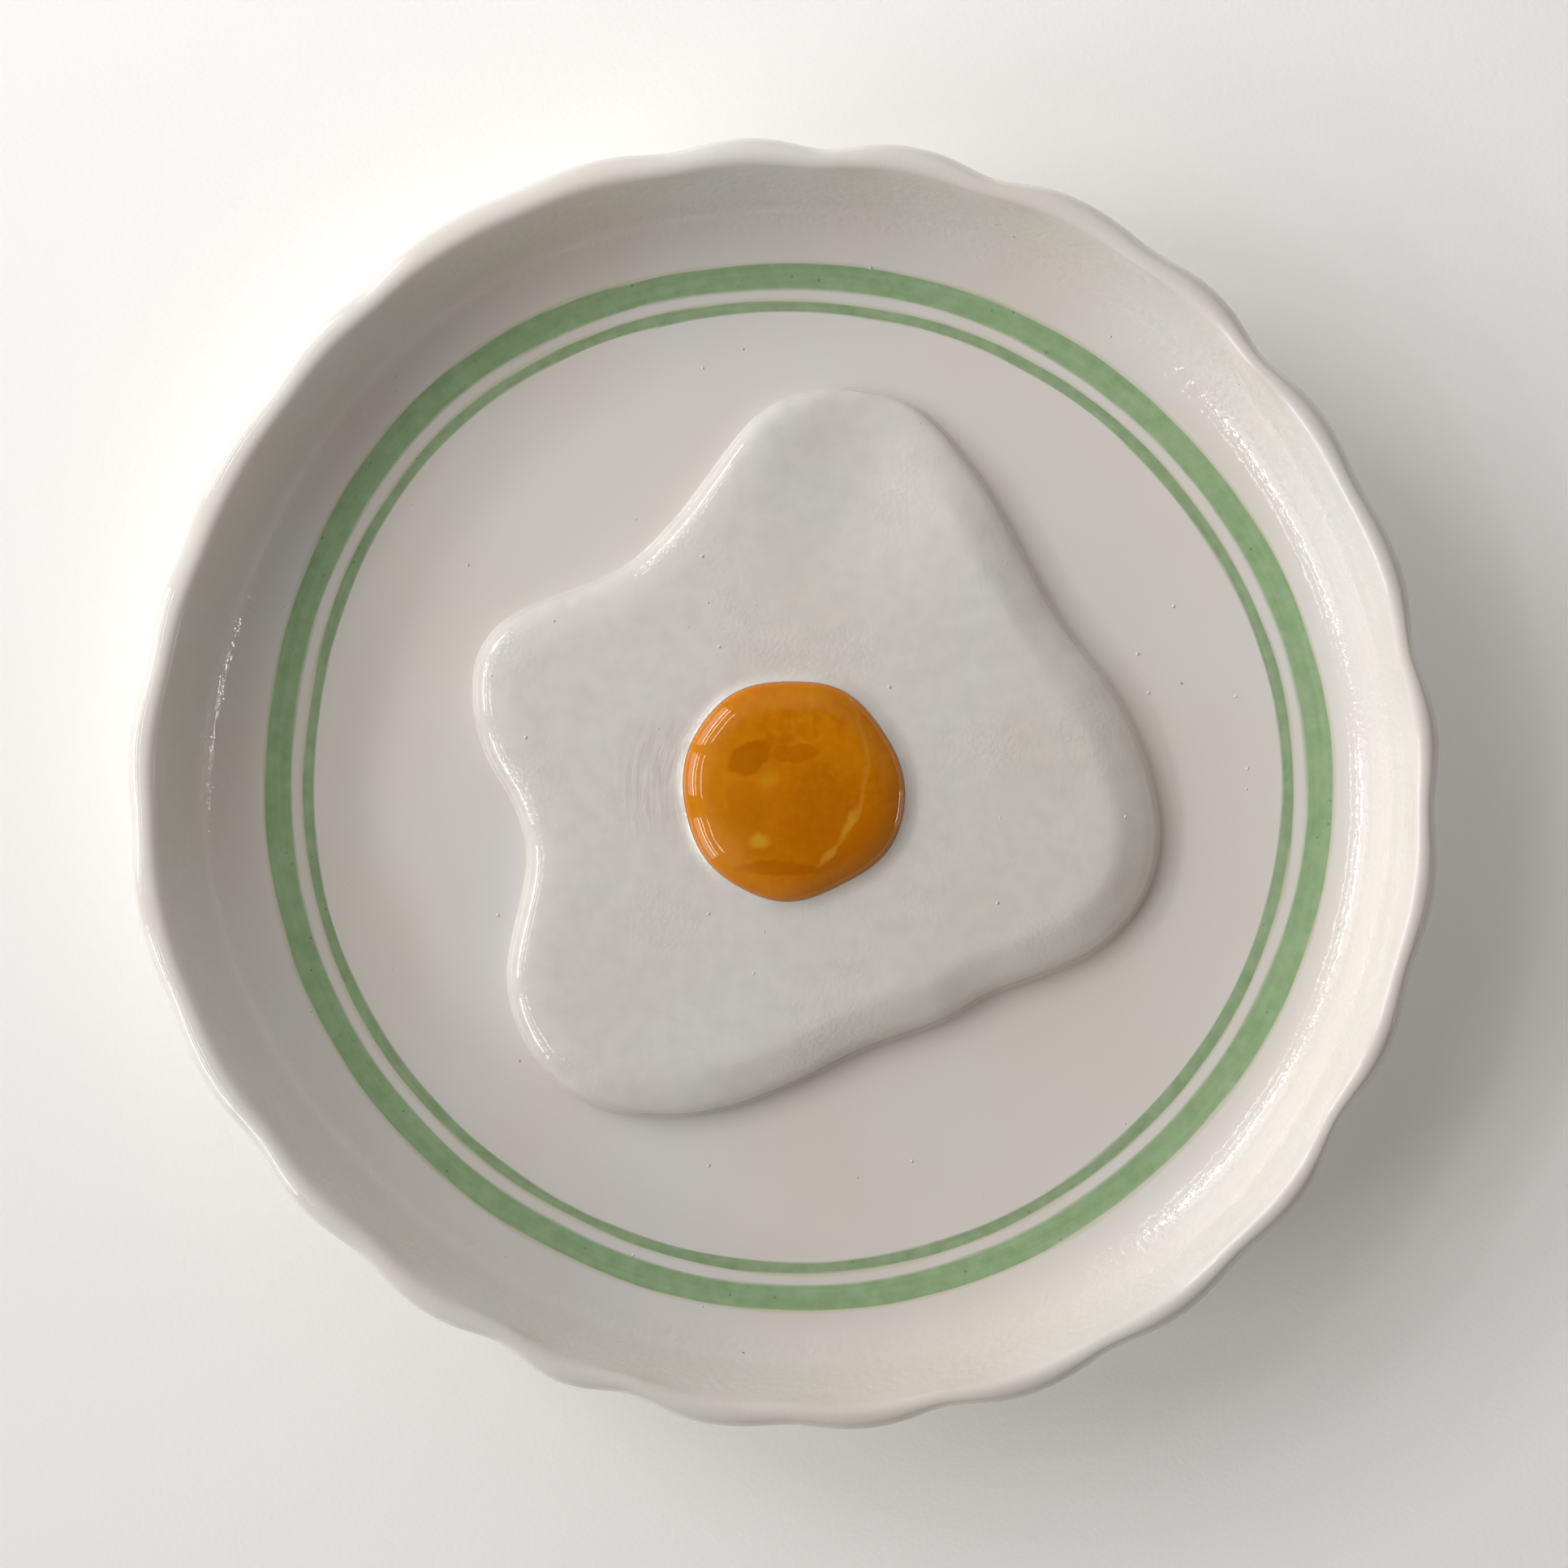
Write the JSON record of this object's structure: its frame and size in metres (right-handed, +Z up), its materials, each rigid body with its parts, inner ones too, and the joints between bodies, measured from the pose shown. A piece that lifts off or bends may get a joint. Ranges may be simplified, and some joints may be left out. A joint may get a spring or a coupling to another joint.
{
  "type": "ceramic fried egg plate",
  "caption": "Glazed earthenware plate with a hand-pinched wavy rim, green bands round its floor and a raised clay fried egg fused in the middle.",
  "frame": {"origin": "middle of the plate's foot, on the surface it stands on", "axes": "+Z up out of the plate, +X to the right and +Y away from a viewer who sees the egg's tall lobe at the top"},
  "size_m": [0.2111, 0.2065, 0.0267],
  "materials": {
    "cream_glaze": "off-white gloss glaze over earthenware, with hand-painted green underglaze bands",
    "white_glaze": "milky white gloss glaze, soft brush marks and a few pinholes",
    "amber_glaze": "transparent orange-amber gloss glaze, mottled where it pooled"
  },
  "bodies": {
    "root": {"plate": "cream_glaze", "egg_white": "white_glaze", "yolk": "amber_glaze"}
  },
  "joints": []
}
